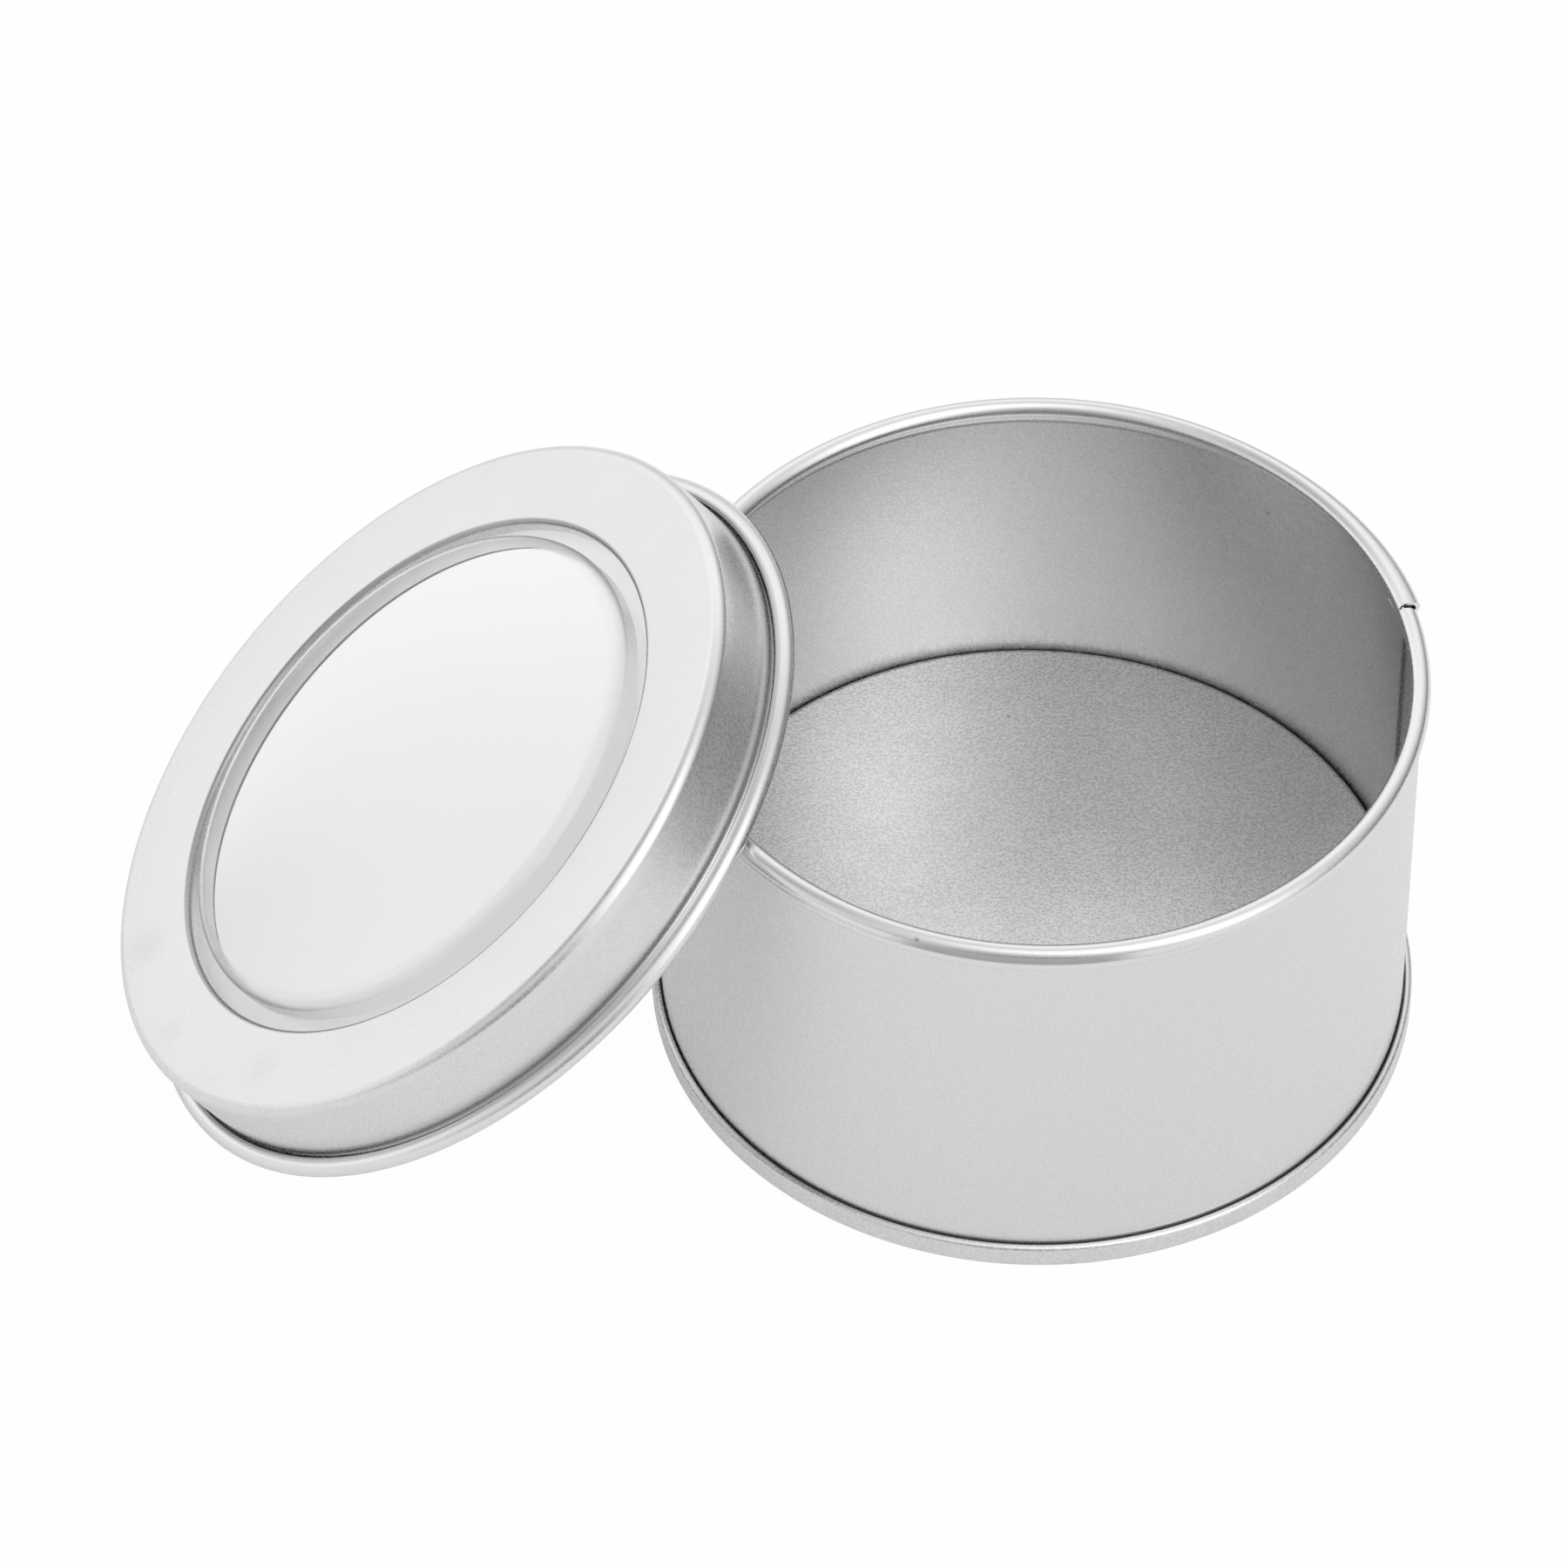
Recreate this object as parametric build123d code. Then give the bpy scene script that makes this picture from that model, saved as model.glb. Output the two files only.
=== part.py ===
from build123d import *
import math
import os

# Window lid tin: a slip-lid tin of 65 mm body, open, with its lid leaning on its left rim.
# Millimetres. +Z is up, the table is at zero, and the lid lies towards -X. The origin is under the middle
# of what stands on the table, tin and lid together.

# Sheet stock
tinplate = 0.25
window_sheet = 0.3
seat_gap = 0.05

# Tin body
body_r = 32.5
tin_height = 39.54
rim_tube_r = 0.865
rim_overhang = 0.65
neck_share = 1.5
rim_curl_turn = 260
seam_azimuth = 11.2
seam_lap = 4.2
seam_lap_margin = 0.25
seam_lap_lead = 0.45
notch_slit = 0.2
notch_mouth = 1.0
notch_depth = 1.9

# Bottom plate and the seam that holds it
foot_bead_overhang = 0.78
foot_bead_height = 2.35
foot_flat = 0.3
seam_top_bend_r = 0.35
body_hook_r = 0.2
body_hook_height = 1.0
floor_height = 8.63
floor_bend_r = 0.6

# Lid
lid_fit_gap = 0.2
lid_height = 8.6
lid_shoulder_r = 0.97
lid_tube_r = 0.84
lid_bead_overhang = 1.74
lid_flare_height = 0.9
lid_curl_turn = 315
lid_face_width = 8.2
window_lip_depth = 1.35
window_lip_bend_r = 0.45

# Window pane
pane_ledge = 1.65
pane_rise = 1.3
pane_crown_r = 1.1
pane_step_inner_r = 0.06
pane_edge_gap = 0.1

# How the lid leans: its upper edge stands this far above the rim, and this much air parts the two beads
lid_peak_above_rim = 5.39
lean_gap = 0.08
lean_steps = 720
lean_precision = 0.0001

half_turn = 180
quarter_turn = 90
full_turn = 360


class SheetPath:
    """The middle line of a bent sheet in the plane of radius and height, grown bend by bend."""

    def __init__(self, start, heading, thickness):
        self.point = Vector(*start)
        self.heading = heading
        self.half = thickness / 2
        self.left = []
        self.right = []

    def side_point(self, side):
        across = Vector(1, 0).rotate(Axis.Z, self.heading + quarter_turn)
        return self.point + across * (self.half * side)

    def straight(self, length):
        """Runs on along the heading."""
        along = Vector(1, 0).rotate(Axis.Z, self.heading)
        starts = self.side_point(1), self.side_point(-1)
        self.point = self.point + along * length
        self.left.append(Line(starts[0], self.side_point(1)))
        self.right.append(Line(starts[1], self.side_point(-1)))

    def bend(self, radius, turn):
        """Turns about a centre at that radius from the middle line, to the left for a positive turn."""
        along = Vector(1, 0).rotate(Axis.Z, self.heading)
        side = math.copysign(1, turn)
        centre = self.point + along.rotate(Axis.Z, quarter_turn * side) * radius
        inner = radius - self.half * side
        outer = radius + self.half * side
        self.left.append(JernArc(self.side_point(1), along, inner, turn))
        self.right.append(JernArc(self.side_point(-1), along, outer, turn))
        self.point = centre + (self.point - centre).rotate(Axis.Z, turn)
        self.heading += turn

    def section(self):
        """The closed outline of the sheet, ready to spin about the axis."""
        start_cap = Line(self.right[0] @ 0, self.left[0] @ 0)
        end_cap = Line(self.left[-1] @ 1, self.right[-1] @ 1)
        edges = [start_cap, *self.left, end_cap, *self.right]
        return Plane.XZ * make_face(edges)


def spun(path):
    return revolve(path.section(), axis=Axis.Z, revolution_arc=full_turn)


def jog(path, shift, length, first_side):
    """An S bend that moves a sheet sideways by shift while it runs on by length."""
    turn = math.degrees(2 * math.atan2(shift, length))
    radius = length / (2 * math.sin(math.radians(abs(turn))))
    path.bend(radius, first_side * turn)
    path.bend(radius, -first_side * turn)


# Places that both the body and the bottom plate share
half_plate = tinplate / 2
body_mid_r = body_r - half_plate
body_inner_r = body_r - tinplate
rim_ring_r = body_r + rim_overhang - rim_tube_r
rim_ring_z = tin_height - rim_tube_r
rim_curl_r = rim_tube_r - half_plate
neck_height = neck_share * rim_tube_r
foot_bead_r = body_r + foot_bead_overhang
plate_wall_r = body_inner_r - seat_gap - half_plate
plate_seam_r = foot_bead_r - half_plate
foot_bend_r = (plate_seam_r - plate_wall_r - foot_flat) / 2
body_hook_z = tinplate + seat_gap + body_hook_r + half_plate


def rim_notch():
    """The slit between the two ends of the curl, and the clipped corners that open it outwards."""
    width = rim_tube_r + rim_tube_r
    height = width + tinplate
    outer = rim_ring_r + rim_tube_r + tinplate
    corner = outer - notch_depth
    slit = Pos(rim_ring_r, 0, rim_ring_z) * Box(width + tinplate, notch_slit, height)
    mouth = Polyline((corner, 0), (outer, -notch_mouth / 2), (outer, notch_mouth / 2), (corner, 0))
    wedge = Pos(0, 0, rim_ring_z - height / 2) * extrude(make_face(mouth), amount=height)
    return Rot(0, 0, seam_azimuth) * (slit + wedge)


def body_wall():
    """The rolled strip: seam hook at the foot, straight wall, neck and outward curl at the rim."""
    hook_tip_r = body_mid_r + body_hook_r + body_hook_r
    hook_top = body_hook_z + body_hook_height
    neck_foot = rim_ring_z - neck_height
    path = SheetPath((hook_tip_r, hook_top), -quarter_turn, tinplate)
    path.straight(body_hook_height)
    path.bend(body_hook_r, -half_turn)
    path.straight(neck_foot - body_hook_z)
    jog(path, body_mid_r - (rim_ring_r - rim_curl_r), neck_height, 1)
    path.bend(rim_curl_r, -rim_curl_turn)
    return spun(path) + side_lap(neck_foot) - rim_notch()


def side_lap(top):
    """The inner end of the strip, which starts just in front of the notch and laps the other behind it."""
    foot = floor_height + seam_lap_margin
    height = top - foot
    turn = math.degrees(seam_lap / body_r)
    lead = math.degrees(seam_lap_lead / body_r)
    middle = body_inner_r - tinplate + (tinplate + half_plate) / 2
    section = Plane.XZ * Pos(middle, foot + height / 2) * Rectangle(tinplate + half_plate, height)
    return Rot(0, 0, seam_azimuth - lead) * revolve(section, axis=Axis.Z, revolution_arc=turn)


def bottom_end():
    """The drawn plate: raised floor, wall behind the body, flat foot and the fold over the hook."""
    floor_mid = floor_height - half_plate
    wall_top = floor_mid - floor_bend_r
    wall_foot = half_plate + foot_bend_r
    seam_top = foot_bead_height - half_plate - seam_top_bend_r
    fold = plate_seam_r - seam_top_bend_r - body_r - seat_gap
    path = SheetPath((0, floor_mid), 0, tinplate)
    path.straight(plate_wall_r - floor_bend_r)
    path.bend(floor_bend_r, -quarter_turn)
    path.straight(wall_top - wall_foot)
    path.bend(foot_bend_r, quarter_turn)
    path.straight(plate_seam_r - plate_wall_r - foot_bend_r - foot_bend_r)
    path.bend(foot_bend_r, quarter_turn)
    path.straight(seam_top - wall_foot)
    path.bend(seam_top_bend_r, quarter_turn)
    path.straight(fold)
    return spun(path)


# The lid slips over the rim. It is drawn face up with the top of its face at zero, then leaned.
lid_r = body_r + rim_overhang + lid_fit_gap + tinplate
lid_bead_r = lid_r + lid_bead_overhang
window_hole_r = lid_r - lid_face_width
lid_mid_r = lid_r - half_plate
lid_curl_r = lid_tube_r - half_plate
lid_ring_r = lid_bead_r - lid_tube_r
lid_ring_z = lid_tube_r - lid_height
shoulder_mid_r = lid_shoulder_r - half_plate


def lid_shell():
    """The pressing: turned-in window edge, ring face, shoulder, skirt, flare and outward curl."""
    lip_r = window_hole_r + half_plate
    face_start = lip_r + window_lip_bend_r
    face_end = lid_mid_r - shoulder_mid_r
    skirt_end = -lid_ring_z - lid_flare_height
    path = SheetPath((lip_r, -window_lip_depth), quarter_turn, tinplate)
    path.straight(window_lip_depth - half_plate - window_lip_bend_r)
    path.bend(window_lip_bend_r, -quarter_turn)
    path.straight(face_end - face_start)
    path.bend(shoulder_mid_r, -quarter_turn)
    path.straight(skirt_end - lid_shoulder_r)
    jog(path, lid_ring_r - lid_curl_r - lid_mid_r, lid_flare_height, 1)
    path.bend(lid_curl_r, lid_curl_turn)
    return spun(path)


def window_pane():
    """The formed disc: flat window standing proud, soft crown, riser in the hole, flange to the skirt."""
    half_sheet = window_sheet / 2
    flange_z = -window_lip_depth - seat_gap - half_sheet
    flat_z = pane_rise - half_sheet
    step_r = pane_step_inner_r + half_sheet
    riser_r = window_hole_r - pane_ledge - half_sheet
    path = SheetPath((0, flat_z), 0, window_sheet)
    path.straight(riser_r - pane_crown_r)
    path.bend(pane_crown_r, -quarter_turn)
    path.straight(flat_z - pane_crown_r - step_r - flange_z)
    path.bend(step_r, quarter_turn)
    path.straight(lid_r - tinplate - pane_edge_gap - riser_r - step_r)
    return spun(path)


def bead_distance(centre_x, lean):
    """The least distance between the middle circles of the lid's bead and of the tin's rim."""
    centre_z = lid_ring_r * math.sin(lean) + lid_tube_r
    least = math.inf
    for step in range(lean_steps + 1):
        around = math.pi * step / lean_steps
        x = centre_x + lid_ring_r * math.cos(around) * math.cos(lean)
        y = lid_ring_r * math.sin(around)
        z = centre_z + lid_ring_r * math.cos(around) * math.sin(lean)
        off_rim = math.hypot(x, y) - rim_ring_r
        least = min(least, math.hypot(off_rim, z - rim_ring_z))
    return least


def slid_in(lean, wanted):
    """Slides the lid in from afar and stops where the two beads are that far apart."""
    place = -body_r - lid_bead_r - lid_height
    stride = lid_tube_r
    while stride > lean_precision:
        if bead_distance(place + stride, lean) > wanted:
            place += stride
        else:
            stride /= 2
    return place


def leaning_place():
    """Where the lid lies: its foot on the table, its bead just clear of the rim on both sides."""
    bead_rise = rim_ring_z + lid_peak_above_rim - lid_tube_r
    lean = math.asin(bead_rise / (lid_ring_r + lid_ring_r))
    centre_x = slid_in(lean, rim_tube_r + lid_tube_r + lean_gap)
    centre = Vector(centre_x, 0, bead_rise / 2 + lid_tube_r)
    normal = Vector(-math.sin(lean), 0, math.cos(lean))
    print("lean, degrees", round(math.degrees(lean), 3), "bead centre", centre)
    return Location(centre - normal * lid_ring_z) * Location((0, 0, 0), (0, -math.degrees(lean), 0))


leaned = leaning_place()
nodes = {
    "body_wall": body_wall(),
    "bottom_end": bottom_end(),
    "lid_shell": leaned * lid_shell(),
    "window_pane": leaned * window_pane(),
}
extent = Compound(list(nodes.values())).bounding_box()
middle = extent.center()
print("tin axis at X", round(-middle.X, 3), "size", extent.size)
os.makedirs("parts", exist_ok=True)
for name, shape in nodes.items():
    export_step(Pos(-middle.X, -middle.Y, 0) * shape, f"parts/{name}.step")
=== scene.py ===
# %% [markdown]
# # A slip-lid tin with a window in its lid
# The tin stands open, and its lid leans on the left of the rim. Everything here is thin sheet: a rolled
# strip and a drawn plate, seamed together, make the tin, a pressing makes the lid, and a formed clear disc
# fills its window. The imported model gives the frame. Each piece is made again on top of it with finer curls
# and bends, because polished metal shows every facet of a rim in its highlights.

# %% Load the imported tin
import math
import bpy
from mathutils import Matrix, Vector


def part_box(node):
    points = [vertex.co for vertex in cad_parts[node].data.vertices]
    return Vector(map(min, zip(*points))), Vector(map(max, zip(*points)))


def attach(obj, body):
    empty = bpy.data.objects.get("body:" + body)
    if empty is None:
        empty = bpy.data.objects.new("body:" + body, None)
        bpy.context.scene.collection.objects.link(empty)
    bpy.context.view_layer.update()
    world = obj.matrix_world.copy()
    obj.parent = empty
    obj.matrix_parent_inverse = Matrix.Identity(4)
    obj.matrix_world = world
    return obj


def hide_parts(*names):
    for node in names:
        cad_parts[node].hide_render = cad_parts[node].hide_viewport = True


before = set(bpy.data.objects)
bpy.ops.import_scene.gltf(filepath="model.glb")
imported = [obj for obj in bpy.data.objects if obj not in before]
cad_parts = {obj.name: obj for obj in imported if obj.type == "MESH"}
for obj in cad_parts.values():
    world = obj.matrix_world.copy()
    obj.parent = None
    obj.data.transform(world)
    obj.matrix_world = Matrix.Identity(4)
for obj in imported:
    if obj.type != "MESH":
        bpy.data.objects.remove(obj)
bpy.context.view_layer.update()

# %% [markdown]
# Sizes are millimetres times `mm`, because Blender works in metres. The tin's axis is read from the packed
# wall. Radii are measured from that axis, and heights from the table.

# %% Sizes of the sheet and the tin
mm = 0.001
tinplate = 0.25 * mm
body_r = 32.5 * mm
rim_tube_r = 0.865 * mm
rim_ring_r = 32.285 * mm
rim_ring_z = 38.675 * mm
neck_foot = 36.85 * mm
half_plate = tinplate / 2
body_mid_r = body_r - half_plate
body_inner_r = body_r - tinplate
wall_low, wall_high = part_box("body_wall")
tin_axis = Vector(((wall_low.x + wall_high.x) / 2, 0, 0))
upright = Matrix.Translation(tin_axis)
print("tin axis", tin_axis)

# %% [markdown]
# A bent sheet is easiest to draw as its middle line. The line starts as one point, runs straight by an
# extrude, and bends by a spin of its last point about the bend's centre. A full spin about the upright axis
# then makes the surface, and Solidify gives it the sheet's thickness on both sides of that line.

# %% A section line that grows in edit mode
degrees_per_facet = 6
fine_bend_facet = 15
hidden_bend_facet = 20
facets_round = 288
start_size = 0.01 * mm
merge_gap = 0.001 * mm


class SectionLine:
    """The middle line of a bent sheet, drawn in the plane of radius and height."""

    def __init__(self, name, radius, height, heading):
        bpy.ops.object.select_all(action="DESELECT")
        self.at = Vector((radius, 0, height))
        self.heading = math.radians(heading)
        bpy.ops.mesh.primitive_plane_add(size=start_size, location=self.at)
        self.piece = bpy.context.object
        self.piece.name = name
        bpy.ops.object.transform_apply(location=True)
        bpy.ops.object.mode_set(mode="EDIT")
        bpy.ops.mesh.select_mode(type="VERT")
        bpy.ops.mesh.select_all(action="SELECT")
        bpy.ops.mesh.merge(type="CENTER")

    def run(self, length):
        along = Vector((math.cos(self.heading), 0, math.sin(self.heading))) * length
        bpy.ops.mesh.extrude_region_move(TRANSFORM_OT_translate={"value": along})
        self.at = self.at + along

    def bend(self, radius, turn, facet=degrees_per_facet):
        side = math.copysign(radius, turn)
        centre = self.at + Vector((-math.sin(self.heading), 0, math.cos(self.heading))) * side
        steps = math.ceil(abs(turn) / facet)
        bpy.ops.mesh.spin(steps=steps, angle=math.radians(turn), center=centre, axis=(0, 1, 0))
        self.at = centre + Matrix.Rotation(-math.radians(turn), 3, "Y") @ (self.at - centre)
        self.heading = self.heading + math.radians(turn)

    def jog(self, shift, length):
        """An S bend that moves the line to its left by shift while it runs on by length."""
        turn = 2 * math.atan2(shift, length)
        radius = length / (2 * math.sin(turn))
        self.bend(radius, math.degrees(turn))
        self.bend(radius, -math.degrees(turn))

    def spun(self, thickness):
        """Spins the line about the upright axis, closes the seam and gives the sheet its thickness."""
        bpy.ops.mesh.select_all(action="SELECT")
        bpy.ops.mesh.spin(steps=facets_round, angle=math.tau, center=(0, 0, 0), axis=(0, 0, 1))
        bpy.ops.mesh.select_all(action="SELECT")
        bpy.ops.mesh.remove_doubles(threshold=merge_gap)
        bpy.ops.mesh.normals_make_consistent(inside=False)
        bpy.ops.object.mode_set(mode="OBJECT")
        return thickened(self.piece, thickness)


def thickened(piece, thickness):
    sheet = piece.modifiers.new("sheet", "SOLIDIFY")
    sheet.thickness = thickness
    sheet.offset = 0
    sheet.use_even_offset = True
    bpy.ops.object.modifier_apply(modifier=sheet.name)
    return piece


print("facets round", facets_round)

# %% [markdown]
# The wall is one strip, rolled round and lapped. Its foot turns out as the hook inside the seam. Its head
# turns out by a few degrees first, a faint kink where the roller bore on it. Above that it draws in, and
# then it curls outwards into the bead that a finger feels round the opening. The two arcs between kink and
# curl are solved from their rise and from how far they draw in.

# %% The wall with its rolled rim
hook_r = 0.2 * mm
hook_height = 1.0 * mm
hook_z = 0.625 * mm
rim_curl_r = rim_tube_r - half_plate
rim_curl_turn = 260
neck_kink_r = 0.15 * mm
neck_kink_turn = 15
neck_lean_turn = 60
kink_sine = math.sin(math.radians(neck_kink_turn))
kink_cosine = math.cos(math.radians(neck_kink_turn))
lean_sine = math.sin(math.radians(neck_lean_turn))
lean_cosine = math.cos(math.radians(neck_lean_turn))
rise = rim_ring_z - neck_foot - neck_kink_r * kink_sine
drawn_in = body_mid_r - (rim_ring_r - rim_curl_r) + neck_kink_r * (1 - kink_cosine)
neck_steps = Matrix(((lean_sine + kink_sine, lean_sine), (kink_cosine - lean_cosine, 1 - lean_cosine)))
neck_low_r, neck_high_r = neck_steps.inverted() @ Vector((rise, drawn_in))

wall = SectionLine("tin_wall", body_mid_r + hook_r + hook_r, hook_z + hook_height, -90)
wall.run(hook_height)
wall.bend(hook_r, -180, hidden_bend_facet)
wall.run(neck_foot - hook_z)
wall.bend(neck_kink_r, -neck_kink_turn)
wall.bend(neck_low_r, neck_kink_turn + neck_lean_turn)
wall.bend(neck_high_r, -neck_lean_turn)
wall.bend(rim_curl_r, -rim_curl_turn)
tin_wall = wall.spun(tinplate)
print("neck radii", neck_low_r, neck_high_r)

# %% [markdown]
# Where the two ends of the strip meet, the curl stops short on each side. The corners were clipped before
# rolling, so a slit opens into a notch at the outside of the bead. One box, narrowed at its inner end, cuts
# both with a Boolean.

# %% The clipped notch
seam_azimuth = math.radians(11.2)
notch_slit = 0.2 * mm
notch_mouth = 1.0 * mm
notch_depth = 1.9 * mm
notch_height = rim_tube_r * 2 + tinplate
inward_face = -0.9


def notch_tool():
    """A box across the bead, whose inner end is narrowed from the notch's mouth to the slit."""
    bpy.ops.object.select_all(action="DESELECT")
    outer = rim_ring_r + rim_tube_r + tinplate
    bpy.ops.mesh.primitive_cube_add(size=1, location=(outer - notch_depth / 2, 0, rim_ring_z))
    tool = bpy.context.object
    tool.scale = (notch_depth, notch_mouth, notch_height)
    bpy.ops.object.transform_apply(location=True, scale=True)
    bpy.ops.object.mode_set(mode="EDIT")
    bpy.ops.mesh.select_all(action="DESELECT")
    bpy.ops.object.mode_set(mode="OBJECT")
    for face in tool.data.polygons:
        face.select = face.normal.x < inward_face
    bpy.ops.object.mode_set(mode="EDIT")
    bpy.ops.transform.resize(value=(1, notch_slit / notch_mouth, 1))
    bpy.ops.object.mode_set(mode="OBJECT")
    return tool


def cut_away(piece, cutter):
    bpy.ops.object.select_all(action="DESELECT")
    bpy.context.view_layer.objects.active = piece
    cut = piece.modifiers.new("cut", "BOOLEAN")
    cut.operation = "DIFFERENCE"
    cut.object = cutter
    bpy.ops.object.modifier_apply(modifier=cut.name)
    bpy.data.objects.remove(cutter)


notch = notch_tool()
notch.data.transform(Matrix.Rotation(seam_azimuth, 4, "Z"))
cut_away(tin_wall, notch)
print("notched wall", len(tin_wall.data.polygons), "faces")

# %% [markdown]
# Just behind the notch the outer end of the strip stands a little proud, so the bead is wider there, and the
# extra width fades away round the rim. That is a small move of the points that are already there.

# %% The proud end of the bead
proud = 0.48 * mm
proud_turn = math.radians(46)
bead_foot = rim_ring_z - rim_tube_r - tinplate


def stood_proud(piece):
    """Pushes the outer half of the bead outwards behind the notch."""
    for vertex in piece.data.vertices:
        past = math.atan2(vertex.co.y, vertex.co.x) - seam_azimuth
        reach = math.hypot(vertex.co.x, vertex.co.y)
        if 0 < past < proud_turn and vertex.co.z > bead_foot and reach > rim_ring_r:
            fade = math.cos(past / proud_turn * math.pi / 2) ** 2
            outer_share = min(1, (reach - rim_ring_r) / rim_tube_r)
            widened = 1 + proud * fade * outer_share / reach
            vertex.co.x *= widened
            vertex.co.y *= widened


stood_proud(tin_wall)
print("proud over", round(math.degrees(proud_turn)), "degrees")

# %% [markdown]
# Under the notch the inner end of the strip laps the other for a few millimetres. The lap is a short upright
# line, spun by a few degrees, thickened, and joined to the wall.

# %% The side lap
lap_width = 4.2 * mm
lap_lead = 0.45 * mm
lap_foot = 8.88 * mm
lap_facets = 24
lap_azimuth = seam_azimuth - lap_lead / body_r
crease_angle = math.radians(35)


def finished(piece, place):
    """Moves the mesh to its place and smooths the bends, but keeps the cut edges crisp."""
    bpy.ops.object.select_all(action="DESELECT")
    piece.select_set(True)
    bpy.context.view_layer.objects.active = piece
    piece.data.transform(place)
    bpy.ops.object.shade_smooth_by_angle(angle=crease_angle)
    print(piece.name, len(piece.data.polygons), "faces")
    return piece


lap = SectionLine("side_lap", body_inner_r - half_plate / 2, lap_foot, 90)
lap.run(neck_foot - lap_foot)
bpy.ops.mesh.select_all(action="SELECT")
bpy.ops.mesh.spin(steps=lap_facets, angle=lap_width / body_r, center=(0, 0, 0), axis=(0, 0, 1))
bpy.ops.object.mode_set(mode="OBJECT")
side_lap = thickened(lap.piece, tinplate + half_plate)
lap_start = min(math.atan2(point.co.y, point.co.x) for point in side_lap.data.vertices)
side_lap.data.transform(Matrix.Rotation(lap_azimuth - lap_start, 4, "Z"))
tin_wall.select_set(True)
bpy.context.view_layer.objects.active = tin_wall
bpy.ops.object.join()
finished(tin_wall, upright)
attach(tin_wall, "tin")
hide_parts("body_wall")

# %% [markdown]
# The bottom is drawn from one plate. Its floor stands high inside the wall, so that the lid of the tin below
# can nest under it, and its edge folds over the wall's hook: that fold is the bead round the foot. The fold
# dips where it meets the wall, which leaves the thin dark groove above the bead.

# %% The bottom plate
seat_gap = 0.05 * mm
foot_bead_r = 33.28 * mm
foot_bead_height = 2.35 * mm
foot_flat = 0.3 * mm
seam_top_bend_r = 0.3 * mm
seam_dip_bend_r = 0.16 * mm
seam_dip = 0.25 * mm
floor_height = 8.63 * mm
floor_bend_r = 0.6 * mm
plate_wall_r = body_inner_r - seat_gap - half_plate
plate_seam_r = foot_bead_r - half_plate
foot_bend_r = (plate_seam_r - plate_wall_r - foot_flat) / 2

plate = SectionLine("tin_bottom", 0, floor_height - half_plate, 0)
plate.run(plate_wall_r - floor_bend_r)
plate.bend(floor_bend_r, -90)
plate.run(floor_height - half_plate - floor_bend_r - half_plate - foot_bend_r)
plate.bend(foot_bend_r, 90, fine_bend_facet)
plate.run(plate_seam_r - plate_wall_r - foot_bend_r - foot_bend_r)
plate.bend(foot_bend_r, 90, fine_bend_facet)
plate.run(foot_bead_height - half_plate - seam_top_bend_r - half_plate - foot_bend_r)
plate.bend(seam_top_bend_r, 90)
plate.run(plate_seam_r - seam_top_bend_r - body_r - seat_gap - half_plate - seam_dip_bend_r)
plate.bend(seam_dip_bend_r, 90, fine_bend_facet)
plate.run(seam_dip)
tin_bottom = finished(plate.spun(tinplate), upright)
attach(tin_bottom, "tin")
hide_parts("bottom_end")

# %% [markdown]
# The lid is drawn face up with the top of its face at zero, and leaned last. The window's edge turns in, so
# the hole has a soft lip, and the skirt flares into a curl that nearly closes.

# %% The pressed lid
lid_r = 33.6 * mm
lid_bead_r = 35.34 * mm
lid_height = 8.6 * mm
lid_shoulder_r = 0.97 * mm
lid_tube_r = 0.84 * mm
lid_flare_height = 0.9 * mm
lid_curl_turn = 315
window_hole_r = 25.4 * mm
window_lip_depth = 1.35 * mm
window_lip_bend_r = 0.45 * mm
lid_mid_r = lid_r - half_plate
lid_curl_r = lid_tube_r - half_plate
lid_ring_r = lid_bead_r - lid_tube_r
lid_ring_z = lid_tube_r - lid_height
shoulder_mid_r = lid_shoulder_r - half_plate
lip_r = window_hole_r + half_plate

pressing = SectionLine("lid_pressing", lip_r, -window_lip_depth, 90)
pressing.run(window_lip_depth - half_plate - window_lip_bend_r)
pressing.bend(window_lip_bend_r, -90)
pressing.run(lid_mid_r - shoulder_mid_r - lip_r - window_lip_bend_r)
pressing.bend(shoulder_mid_r, -90)
pressing.run(-lid_ring_z - lid_flare_height - lid_shoulder_r)
pressing.jog(lid_ring_r - lid_curl_r - lid_mid_r, lid_flare_height)
pressing.bend(lid_curl_r, lid_curl_turn)
lid_pressing = pressing.spun(tinplate)
print("lid", round(lid_bead_r * 2 / mm, 2), "mm across")

# %% [markdown]
# The lean is the angle at which the lid's curl rests on the table below and on the rim beside it. The mesh
# is turned and moved, so the object itself stays at the origin.

# %% Lean the lid on the rim
lid_lean = math.radians(38.789)
lid_bead_centre = tin_axis + Vector((-48.8924, 0, 22.4525)) * mm
lid_normal = Vector((-math.sin(lid_lean), 0, math.cos(lid_lean)))
lid_face_centre = lid_bead_centre - lid_normal * lid_ring_z
lid_place = Matrix.Translation(lid_face_centre) @ Matrix.Rotation(-lid_lean, 4, "Y")
finished(lid_pressing, lid_place)
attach(lid_pressing, "lid")
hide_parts("lid_shell")
print("lid face centre", lid_face_centre)

# %% [markdown]
# The window is a clear disc, heat formed over a tool. Its middle stands a little proud of the metal, its
# edge rolls down through the hole as a short wall, and a flange behind the lip holds it in the ring.

# %% The formed window
window_sheet = 0.3 * mm
pane_ledge = 1.65 * mm
pane_rise = 1.3 * mm
pane_crown_r = 1.1 * mm
pane_edge_gap = 0.1 * mm
pane_step_r = 0.21 * mm
half_sheet = window_sheet / 2
pane_flat_z = pane_rise - half_sheet
pane_flange_z = -window_lip_depth - seat_gap - half_sheet
pane_riser_r = window_hole_r - pane_ledge - half_sheet

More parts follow.
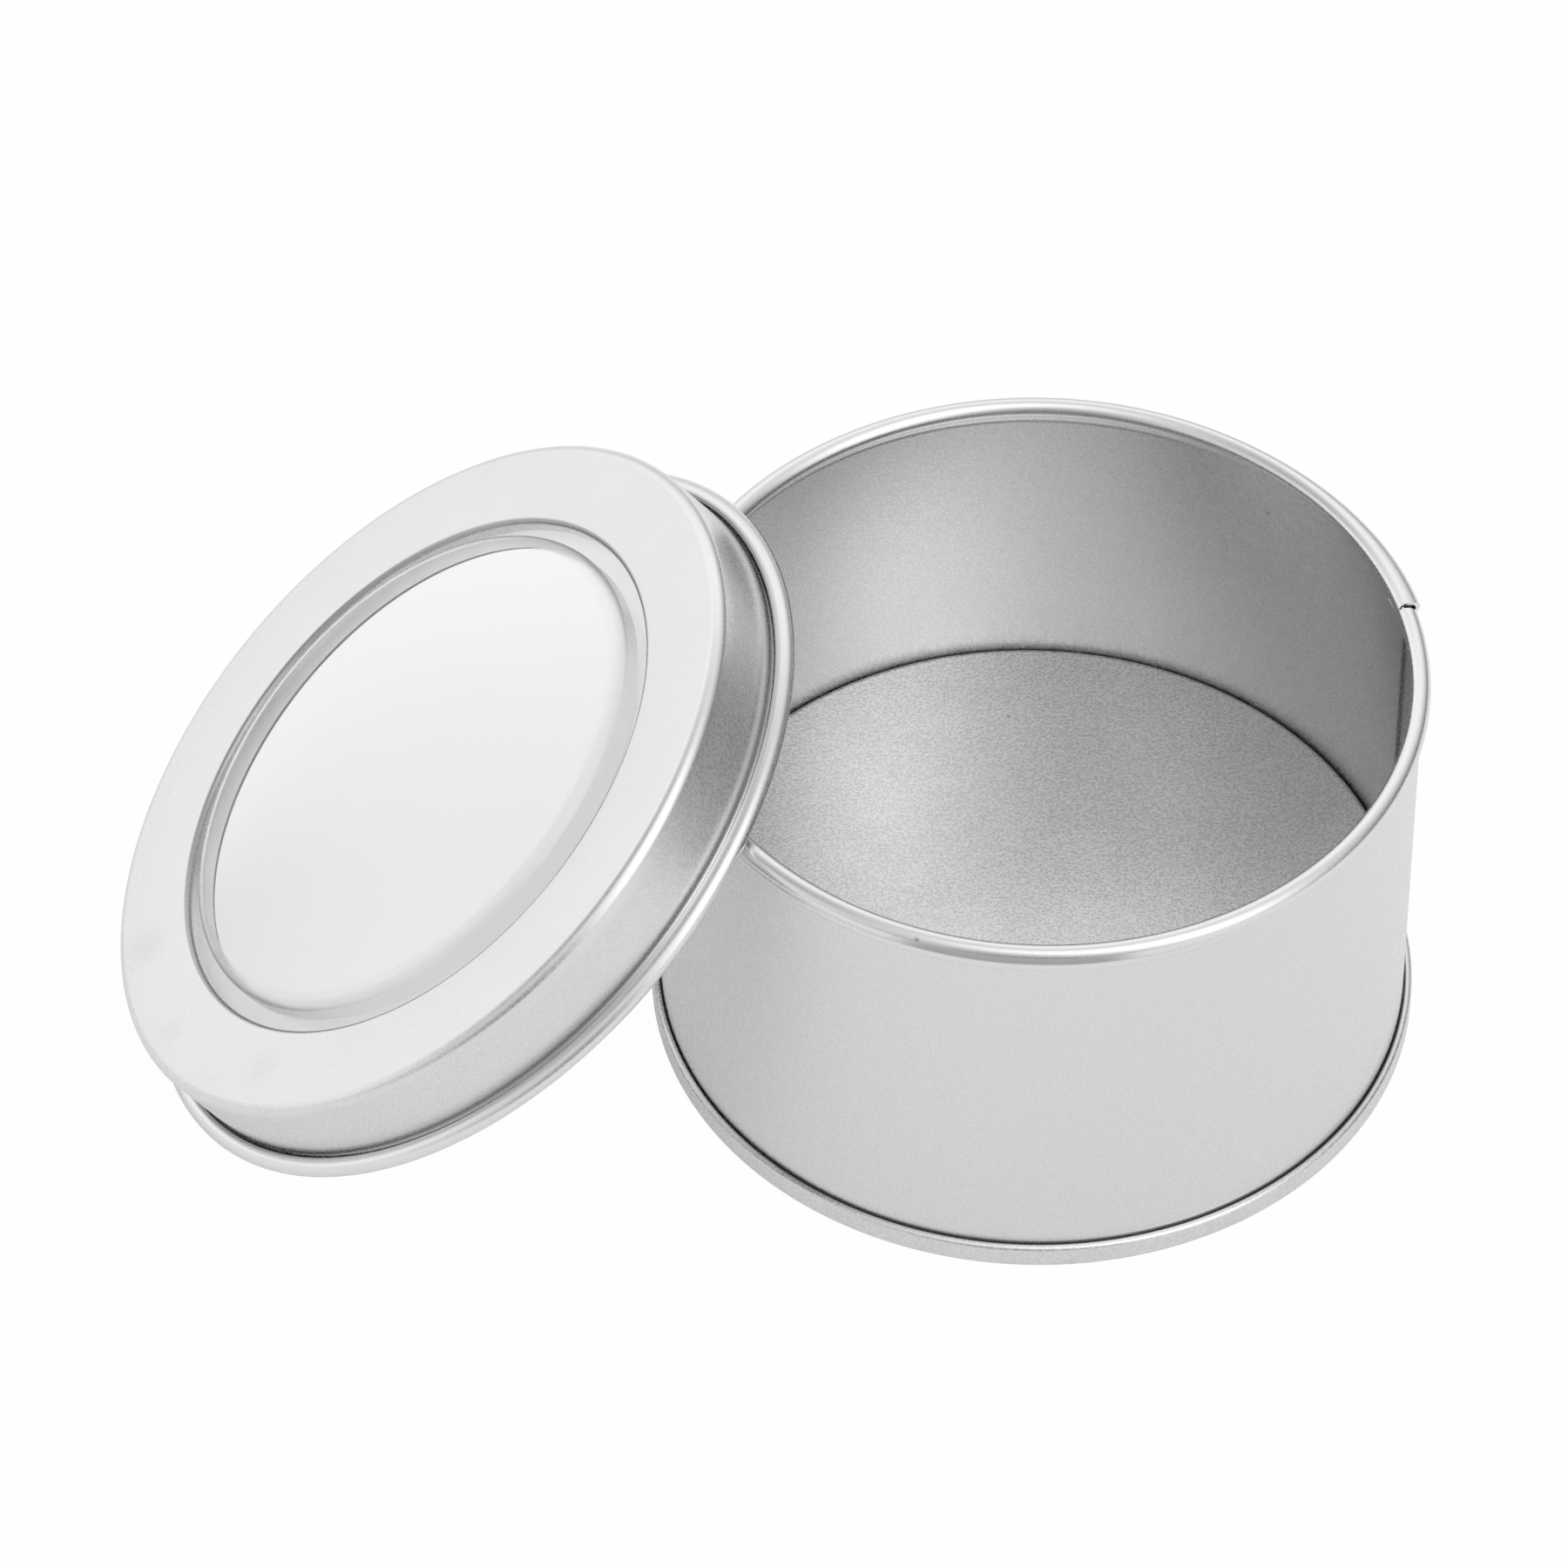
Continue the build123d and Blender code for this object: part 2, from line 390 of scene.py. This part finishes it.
pane = SectionLine("window_pane_clear", 0, pane_flat_z, 0)
pane.run(pane_riser_r - pane_crown_r)
pane.bend(pane_crown_r, -90)
pane.run(pane_flat_z - pane_crown_r - pane_step_r - pane_flange_z)
pane.bend(pane_step_r, 90, fine_bend_facet)
pane.run(lid_r - tinplate - pane_edge_gap - pane_riser_r - pane_step_r)
clear_window = finished(pane.spun(window_sheet), lid_place)
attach(clear_window, "lid")
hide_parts("window_pane")

# %% [markdown]
# Shader sums are written as Python sums. A `Reading` wraps one output socket, and adding or multiplying it
# adds the Math node.

# %% A reading that can be summed


class Reading:
    """One number, colour or shader that leaves a node."""

    def __init__(self, finish, socket):
        self.finish = finish
        self.socket = socket

    def worked(self, operation, first, second):
        return self.finish.node("ShaderNodeMath", {"operation": operation}, {0: first, 1: second})

    def __add__(self, other):
        return self.worked("ADD", self, other)

    __radd__ = __add__

    def __mul__(self, other):
        return self.worked("MULTIPLY", self, other)

    __rmul__ = __mul__

    def __sub__(self, other):
        return self.worked("SUBTRACT", self, other)

    def __rsub__(self, other):
        return self.worked("SUBTRACT", other, self)

    def __pow__(self, other):
        return self.worked("POWER", self, other)


# %% [markdown]
# Every other node comes from `Finish.node`, which takes its type, its settings and what its sockets hold.
# The kinds that come up often have a short name of their own.

# %% A finish that grows node by node


class Finish:
    """A material, or the world, whose nodes are added one call at a time."""

    def __init__(self, owner):
        self.tree = owner.node_tree
        self.tree.nodes.clear()

    def node(self, kind, settings=None, values=None, output=0):
        made = self.tree.nodes.new(kind)
        for name, setting in (settings or {}).items():
            setattr(made, name, setting)
        for name, value in (values or {}).items():
            if isinstance(value, Reading):
                self.tree.links.new(value.socket, made.inputs[name])
            else:
                made.inputs[name].default_value = value
        if made.outputs:
            return Reading(self, made.outputs[output])

    def ramp(self, value, low, high, low_out=0.0, high_out=1.0):
        """Rises, or falls, softly between the two readings."""
        values = {"Value": value, 1: low, 2: high, 3: low_out, 4: high_out}
        return self.node("ShaderNodeMapRange", {"interpolation_type": "SMOOTHSTEP"}, values)

    def mixed(self, share, first, second):
        """The first colour, and the second where the share is one."""
        return self.node("ShaderNodeMix", {"data_type": "RGBA"}, {0: share, 6: first, 7: second}, output=2)

    def noise(self, place, scale, detail, roughness=0.5):
        values = {"Vector": place, "Scale": scale, "Detail": detail, "Roughness": roughness}
        return self.node("ShaderNodeTexNoise", values=values, output="Fac")

    def measured(self, operation, first, second):
        """The distance or the dot product of two vectors."""
        return self.node("ShaderNodeVectorMath", {"operation": operation}, {0: first, 1: second}, "Value")

    def drawn_place(self, stands):
        """Turns places in the scene into places on a piece as it was drawn, axis up."""
        coordinates = self.node("ShaderNodeTexCoord", output="Object")
        back = stands.inverted()
        values = {"Vector": coordinates, "Location": back.to_translation(), "Rotation": back.to_euler()}
        return self.node("ShaderNodeMapping", {"vector_type": "POINT"}, values)

    def along(self, place, axis):
        return self.node("ShaderNodeSeparateXYZ", values={"Vector": place}, output=axis)

    def off_axis(self, place):
        """The distance from the piece's own axis."""
        x = self.along(place, "X")
        y = self.along(place, "Y")
        return (x * x + y * y) ** 0.5


def grey(level):
    return (level, level, level, 1)


white = grey(1)


def new_finish(name):
    material = bpy.data.materials.new(name)
    material.use_nodes = True
    return material, Finish(material)


def dressed(piece, material):
    piece.data.materials.clear()
    piece.data.materials.append(material)
    print(piece.name, "wears", material.name)


# %% [markdown]
# Bare satin tinplate is metal with a fine frosted grain. The frost is a noise a quarter of a millimetre
# across: it tips the surface and changes its tone, which gives the sparkle, and it stirs the roughness. A
# slower noise stands for the rolled sheet's cloudiness. Curls and shoulders are rubbed smoother by the press
# and by fingers and take a lighter tone, which on the raised side of the lid's shoulder is a painted
# highlight.
# Creases and the lap's edge get painted shade and the rim's front a painted dark reflection, in the same dark
# tone as the specks and smudges of dirt, so each piece brings a mask for both. A pair of numbers named after
# a place says where a mask begins and where it is full.

# %% Satin tinplate
burnish_and_highlight_tone = grey(0.79)
# One dark tone for painted shade, a painted dark reflection and real specks and smudges of dirt.
painted_shade_and_dirt_tone = grey(0.1)
burnished_roughness = 0.25
burnished_flatness = 0.8
stir = (0.3, 0.7, -0.05, 0.05)
sparkle_contrast = (0.35, 0.65)
cloud_contrast = (0.3, 0.7)
grain_scale = 3800
cloud_scale = 160
cloud_share = 0.15
grain_height = 0.010 * mm


def satin_tinplate(name, satin_tone, sparkle, roughness, relief, stands, burnished, shaded):
    material, finish = new_finish(name)
    place = finish.drawn_place(stands)
    grain = finish.noise(place, grain_scale, 2.0, 0.6)
    cloud = finish.noise(place, cloud_scale, 4.0)
    rubbed = burnished(finish, place)
    dark = shaded(finish, place)
    height = (grain - 0.5) * (1 - rubbed * burnished_flatness)
    bump_values = {"Height": height, "Strength": 1.0, "Distance": grain_height * relief}
    bump = finish.node("ShaderNodeBump", values=bump_values)
    sparkling = finish.ramp(grain, *sparkle_contrast) * (1 - cloud_share)
    clouded = finish.ramp(cloud, *cloud_contrast) * cloud_share
    satin = finish.mixed(sparkling + clouded, grey(satin_tone - sparkle), grey(satin_tone + sparkle))
    frosted = roughness + finish.ramp(grain, *stir)
    # The dark mask lays painted shade and dirt over the colour; the rubbed mask gives the lighter burnished
    # tone.
    shader_values = {
        "Base Color": finish.mixed(dark, finish.mixed(rubbed, satin, burnish_and_highlight_tone), painted_shade_and_dirt_tone),
        "Metallic": 1.0,
        "Roughness": frosted - rubbed * (roughness - burnished_roughness),
        "Normal": bump,
    }
    shader = finish.node("ShaderNodeBsdfPrincipled", values=shader_values)
    finish.node("ShaderNodeOutputMaterial", values={"Surface": shader})
    return material


print("grain", round(1 / grain_scale / mm, 2), "mm across")

# %% [markdown]
# Painted shade goes on rings round the axis: in the crease above the foot, where the flare meets the curl,
# and along the window's edge. A ring's mask is one on the ring and falls to zero a third of a millimetre
# away.
# Smudges and specks are the same idea about a point, which is given by its place in the scene. A ring is
# named with its radius, its height and its reach.

# %% Rings of painted shade and spots of dirt
ring_core = 0.3
seam_ring = (32.55 * mm, 2.35 * mm, 0.33 * mm)
seam_depth = 0.5


# A mask of painted shade round a ring.
def ring_shade(finish, place, ring_r, ring_z, reach):
    across = finish.off_axis(place) - ring_r
    beside = finish.along(place, "Z") - ring_z
    away = (across * across + beside * beside) ** 0.5
    return finish.ramp(away, reach, reach * ring_core)


def spotted(finish, place, stands, spots):
    """Each spot says where it lies in millimetres, how far it reaches and how dark it is."""
    shade = 0
    for spot, reach, depth in spots:
        away = finish.measured("DISTANCE", place, stands.inverted() @ (Vector(spot) * mm))
        shade = finish.ramp(away, reach * mm, 0) * depth + shade
    return shade


def seam_shaded(finish, place):
    """Painted shade in the crease above the foot bead."""
    return ring_shade(finish, place, *seam_ring) * seam_depth


print("painted_crease_shade ring: radius, height and reach", seam_ring)

# %% [markdown]
# The bottom plate shows its coarse grain on the floor, and its bead is smoother, because the seaming rollers
# ran over it. Painted shade darkens the crease above the bead, and one speck lies on the floor.

# %% Finish of the bottom
bead_heights = (3.4 * mm, 3.0 * mm)
bead_rub = 0.6
bottom_spots = (((22.3, 23.7, 8.6), 0.28, 0.5),)


def bead_smooth(finish, place):
    return finish.ramp(finish.along(place, "Z"), *bead_heights) * bead_rub


def bottom_shaded(finish, place):
    return seam_shaded(finish, place) + spotted(finish, place, upright, bottom_spots)


bottom_finish = satin_tinplate(
    "satin tinplate bottom",
    satin_tone=0.71,
    sparkle=0.13,
    roughness=0.31,
    relief=3.6,
    stands=upright,
    burnished=bead_smooth,
    shaded=bottom_shaded,
)
dressed(tin_bottom, bottom_finish)

# %% [markdown]
# The wall is finer. Its curl is burnished. Low on the outside of it, in front, runs the grey line that the
# picture shows there. It is a painted dark reflection, a tone on the bead, because a dark patch of the room
# that drew the line would darken the lid's skirt too. Inside, the lap's free edge is a dark line of painted
# shade with a soft painted shade beside it.

# %% Finish of the wall
rim_heights = (37.9 * mm, 38.5 * mm)
front_line_azimuth = math.radians(-97.5)
front_line_top = (39.15 * mm, 38.9 * mm)
front_line_foot = (38.25 * mm, 38.45 * mm)
front_line_outside = (32.7 * mm, 32.9 * mm)
front_line_front = (31.2 * mm, 32.4 * mm)
painted_reflection_depth = 0.55
lap_shade_width = 0.8 * mm
lap_shade_depth = 0.25
edge_width = 0.08 * mm
edge_depth = 0.3
lap_edge = (-0.05 * mm, -0.02 * mm)
lap_inside = (body_r - 0.1 * mm, body_inner_r + 0.05 * mm)
lap_side = (0, 1 * mm)
lap_top = (neck_foot + 0.2 * mm, neck_foot)
wall_spots = (
    ((44.4, 24.2, 33.0), 0.3, 0.5),
    ((10.9, -30.6, 39.2), 0.3, 0.6),
)


def rim_burnished(finish, place):
    return finish.ramp(finish.along(place, "Z"), *rim_heights)


def painted_rim_reflection(finish, place):
    """A painted dark reflection under the front of the rim: a band of height, on the outside, that fades both
    ways.
    """
    front = (math.cos(front_line_azimuth), math.sin(front_line_azimuth), 0)
    height = finish.along(place, "Z")
    band = finish.ramp(height, *front_line_top) * finish.ramp(height, *front_line_foot)
    outside = finish.ramp(finish.off_axis(place), *front_line_outside)
    in_front = finish.ramp(finish.measured("DOT_PRODUCT", place, front), *front_line_front)
    return in_front * band * outside * painted_reflection_depth


def lap_painted_shade(finish, place):
    """Painted shade at the lap's free edge, a dark line with a soft shade beside it, on the inside and below
    the rim only.
    """
    across_lap = (-math.sin(lap_azimuth), math.cos(lap_azimuth), 0)
    sideways = finish.measured("DOT_PRODUCT", place, across_lap)
    soft = finish.ramp(sideways, lap_shade_width, 0) * lap_shade_depth
    crisp = finish.ramp(sideways, edge_width, 0) * edge_depth
    past_edge = finish.ramp(sideways, *lap_edge)
    inside = finish.ramp(finish.off_axis(place), *lap_inside)
    seam_side = finish.ramp(finish.along(place, "X"), *lap_side)
    below_rim = finish.ramp(finish.along(place, "Z"), *lap_top)
    return (soft + crisp) * past_edge * seam_side * inside * below_rim


def wall_shaded(finish, place):
    painted_reflection_and_specks = painted_rim_reflection(finish, place) + spotted(finish, place, upright, wall_spots)
    return seam_shaded(finish, place) + lap_painted_shade(finish, place) + painted_reflection_and_specks


wall_finish = satin_tinplate(
    "satin tinplate wall",
    satin_tone=0.77,
    sparkle=0.012,
    roughness=0.29,
    relief=0.55,
    stands=upright,
    burnished=rim_burnished,
    shaded=wall_shaded,
)
dressed(tin_wall, wall_finish)

# %% [markdown]
# The lid is handled most. Its curl, the lip of its window and the raised side of its shoulder are burnished,
# and on that side of the shoulder the lighter burnished tone is a painted highlight. Its face carries three
# faint smudges. The crease at the flare and the edge round the window are darkened with painted shade.

# %% Finish of the lid
lid_spots = (
    ((-54.1, -2.0, 9.6), 3.5, 0.07),
    ((-52.0, -13.7, 11.3), 2.2, 0.05),
    ((-44.1, -23.7, 17.6), 2.8, 0.06),
)
curl_heights = (-6.5 * mm, -6.9 * mm)
curl_rub = 0.7
lip_reach = (25.9 * mm, 25.6 * mm)
raised_side = (8 * mm, 24 * mm)
shoulder_reach = (32.5 * mm, 32.9 * mm)
shoulder_heights = (-2.2 * mm, -1.2 * mm)
flare_crease = (34.0 * mm, -7.15 * mm, 0.36 * mm)
crease_painted_shade_depth = 0.6
window_edge = (25.62 * mm, -0.15 * mm, 0.34 * mm)
window_edge_painted_shade_depth = 0.55


def lid_burnish_and_highlight(finish, place):
    height = finish.along(place, "Z")
    far_out = finish.off_axis(place)
    curl = finish.ramp(height, *curl_heights) * curl_rub
    lip = finish.ramp(far_out, *lip_reach)
    shoulder = finish.ramp(far_out, *shoulder_reach) * finish.ramp(height, *shoulder_heights)
    raised = finish.ramp(finish.along(place, "X"), *raised_side)
    # On the raised side of the shoulder the lighter tone is a painted highlight; the smoothness is burnish.
    return curl + lip + shoulder * raised


def lid_shaded(finish, place):
    # Painted shade in the flare's crease and round the window's edge; the spots are smudges.
    crease = ring_shade(finish, place, *flare_crease) * crease_painted_shade_depth
    edge = ring_shade(finish, place, *window_edge) * window_edge_painted_shade_depth
    return crease + edge + spotted(finish, place, lid_place, lid_spots)


lid_finish = satin_tinplate(
    "satin tinplate lid",
    satin_tone=0.74,
    sparkle=0.035,
    roughness=0.29,
    relief=0.8,
    stands=lid_place,
    burnished=lid_burnish_and_highlight,
    shaded=lid_shaded,
)
dressed(lid_pressing, lid_finish)

# %% [markdown]
# The window is glass clear, with a faint haze. Its stepped edge is duller, as clear sheet is where it was
# stretched over the tool, and beyond the step the sheet is painted greyer as painted shade. Light reaches
# through it by a Transparent shader for shadow rays, since a path tracer would otherwise leave a black shadow
# under a clear sheet.

# %% Clear window sheet
clear_tint = grey(0.985)
flange_painted_shade = grey(0.87)
step_reach = (22.9 * mm, 23.6 * mm)
crown_reach = (22.1 * mm, 22.7 * mm)
crown_dullness = 0.16
haze_scale = 400.0
haze_roughness = (0.4, 0.7, 0.02, 0.06)
clear_index = 1.5
window_finish, finish = new_finish("clear window sheet")
outward = finish.off_axis(finish.drawn_place(lid_place))
stepped = finish.ramp(outward, *step_reach)
rolled_over = finish.ramp(outward, *crown_reach)
haze = finish.noise(finish.node("ShaderNodeTexCoord", output="Object"), haze_scale, 3.0)
# Beyond the step the sheet's colour is darkened: painted shade.
sheet_values = {
    "Base Color": finish.mixed(stepped, clear_tint, flange_painted_shade),
    "Roughness": finish.ramp(haze, *haze_roughness) + rolled_over * crown_dullness,
    "Transmission Weight": 1.0,
    "IOR": clear_index,
}
sheet = finish.node("ShaderNodeBsdfPrincipled", values=sheet_values)
through = finish.node("ShaderNodeBsdfTransparent", values={"Color": clear_tint})
lamp_ray = finish.node("ShaderNodeLightPath", output="Is Shadow Ray")
both = finish.node("ShaderNodeMixShader", values={0: lamp_ray, 1: sheet, 2: through})
finish.node("ShaderNodeOutputMaterial", values={"Surface": both})
dressed(clear_window, window_finish)

# %% [markdown]
# The floor is a white sheet. Camera rays see mostly plain white, and a small share of the real lit surface.
# Mirror and clear rays see more of the real one, so the wall shows the shade under the lid.

# %% White floor and backdrop
floor_size = 6.0
floor_drop = 0.1 * mm
sheet_white = grey(0.97)
plain_share = 0.97
mirrored_share = 0.2
cleared_share = 0.52
bpy.ops.object.select_all(action="DESELECT")
bpy.ops.mesh.primitive_plane_add(size=floor_size, location=(0, 0, -floor_drop))
floor = bpy.context.object
floor.name = "white_floor"
bpy.ops.object.transform_apply(location=True)
floor_finish, finish = new_finish("white floor")
lit = finish.node("ShaderNodeBsdfDiffuse", values={"Color": sheet_white})
plain = finish.node("ShaderNodeEmission", values={"Color": white, "Strength": 1.0})
seen = finish.node("ShaderNodeLightPath", output="Is Camera Ray") * plain_share
mirrored = finish.node("ShaderNodeLightPath", output="Is Glossy Ray") * mirrored_share
cleared = finish.node("ShaderNodeLightPath", output="Is Transmission Ray") * cleared_share
share = seen + mirrored.worked("MAXIMUM", mirrored, cleared)
shown = finish.node("ShaderNodeMixShader", values={0: share, 1: lit, 2: plain})
finish.node("ShaderNodeOutputMaterial", values={"Surface": shown})
dressed(floor, floor_finish)

# %% [markdown]
# The studio is a room seen only by the metal. Each window or pale wall in it is a soft round patch, given by
# its compass bearing from the back of the table, its height above the table and its level. The strongest are
# high on the right of the camera, almost overhead, and low on the left. The camera itself sees plain white.

# %% The room
patch_sharpness = 8
patches = (
    (0, 8, 0.45),
    (45, 8, 0.12),
    (90, 8, 0.13),
    (135, 8, 0.72),
    (180, 8, 0.17),
    (225, 8, 0.44),
    (270, 8, 1.01),
    (315, 8, 0.92),
    (0, 42, 0.78),
    (45, 42, 0.58),
    (90, 42, 0.18),
    (135, 42, 1.22),
    (180, 42, 0.13),
    (225, 42, 0.54),
    (315, 42, 0.5),
    (160, 78, 1.1),
)
world = bpy.data.worlds.new("pale room")
bpy.context.scene.world = world
world.use_nodes = True
finish = Finish(world)
direction = finish.node("ShaderNodeTexCoord", output="Generated")
level = 0
for bearing, height, strength in patches:
    turn = math.radians(bearing)
    lift = math.radians(height)
    patch = Vector((math.sin(turn) * math.cos(lift), math.cos(turn) * math.cos(lift), math.sin(lift)))
    toward = finish.measured("DOT_PRODUCT", direction, patch)
    level = toward.worked("MAXIMUM", toward, 0.0) ** patch_sharpness * strength + level
room = finish.node("ShaderNodeBackground", values={"Color": white, "Strength": level})
page = finish.node("ShaderNodeBackground", values={"Color": white, "Strength": 1.0})
seen = finish.node("ShaderNodeLightPath", output="Is Camera Ray")
shown = finish.node("ShaderNodeMixShader", values={0: seen, 1: room, 2: page})
finish.node("ShaderNodeOutputWorld", values={"Surface": shown})
print("room patches", len(patches))

# %% [markdown]
# The camera is a long lens almost a metre away and nearly 47 degrees above the table. Its place and turn
# were fitted to the ellipses of the rims in the picture.

# %% Camera
camera_place = Vector((-32.28, -665.46, 736.15)) * mm
camera_azimuth = math.radians(2.8825)
camera_pitch = math.radians(46.828)
camera_roll = math.radians(0.6229)
lens_pixels = 13000
picture_pixels = 1800
sensor = 36

ahead = Vector((
    math.sin(camera_azimuth) * math.cos(camera_pitch),
    math.cos(camera_azimuth) * math.cos(camera_pitch),
    -math.sin(camera_pitch),
))
level_right = ahead.cross(Vector((0, 0, 1))).normalized()
level_up = level_right.cross(ahead)
right = level_right * math.cos(camera_roll) + level_up * math.sin(camera_roll)
up = level_up * math.cos(camera_roll) - level_right * math.sin(camera_roll)
lens = bpy.data.cameras.new("long lens")
lens.lens = lens_pixels / picture_pixels * sensor
lens.sensor_width = sensor
camera = bpy.data.objects.new("camera", lens)
bpy.context.scene.collection.objects.link(camera)
camera.matrix_world = Matrix.Translation(camera_place) @ Matrix((right, up, -ahead)).transposed().to_4x4()
bpy.context.scene.camera = camera
bpy.context.scene.view_settings.view_transform = "Standard"
print("lens", lens.lens, "mm")
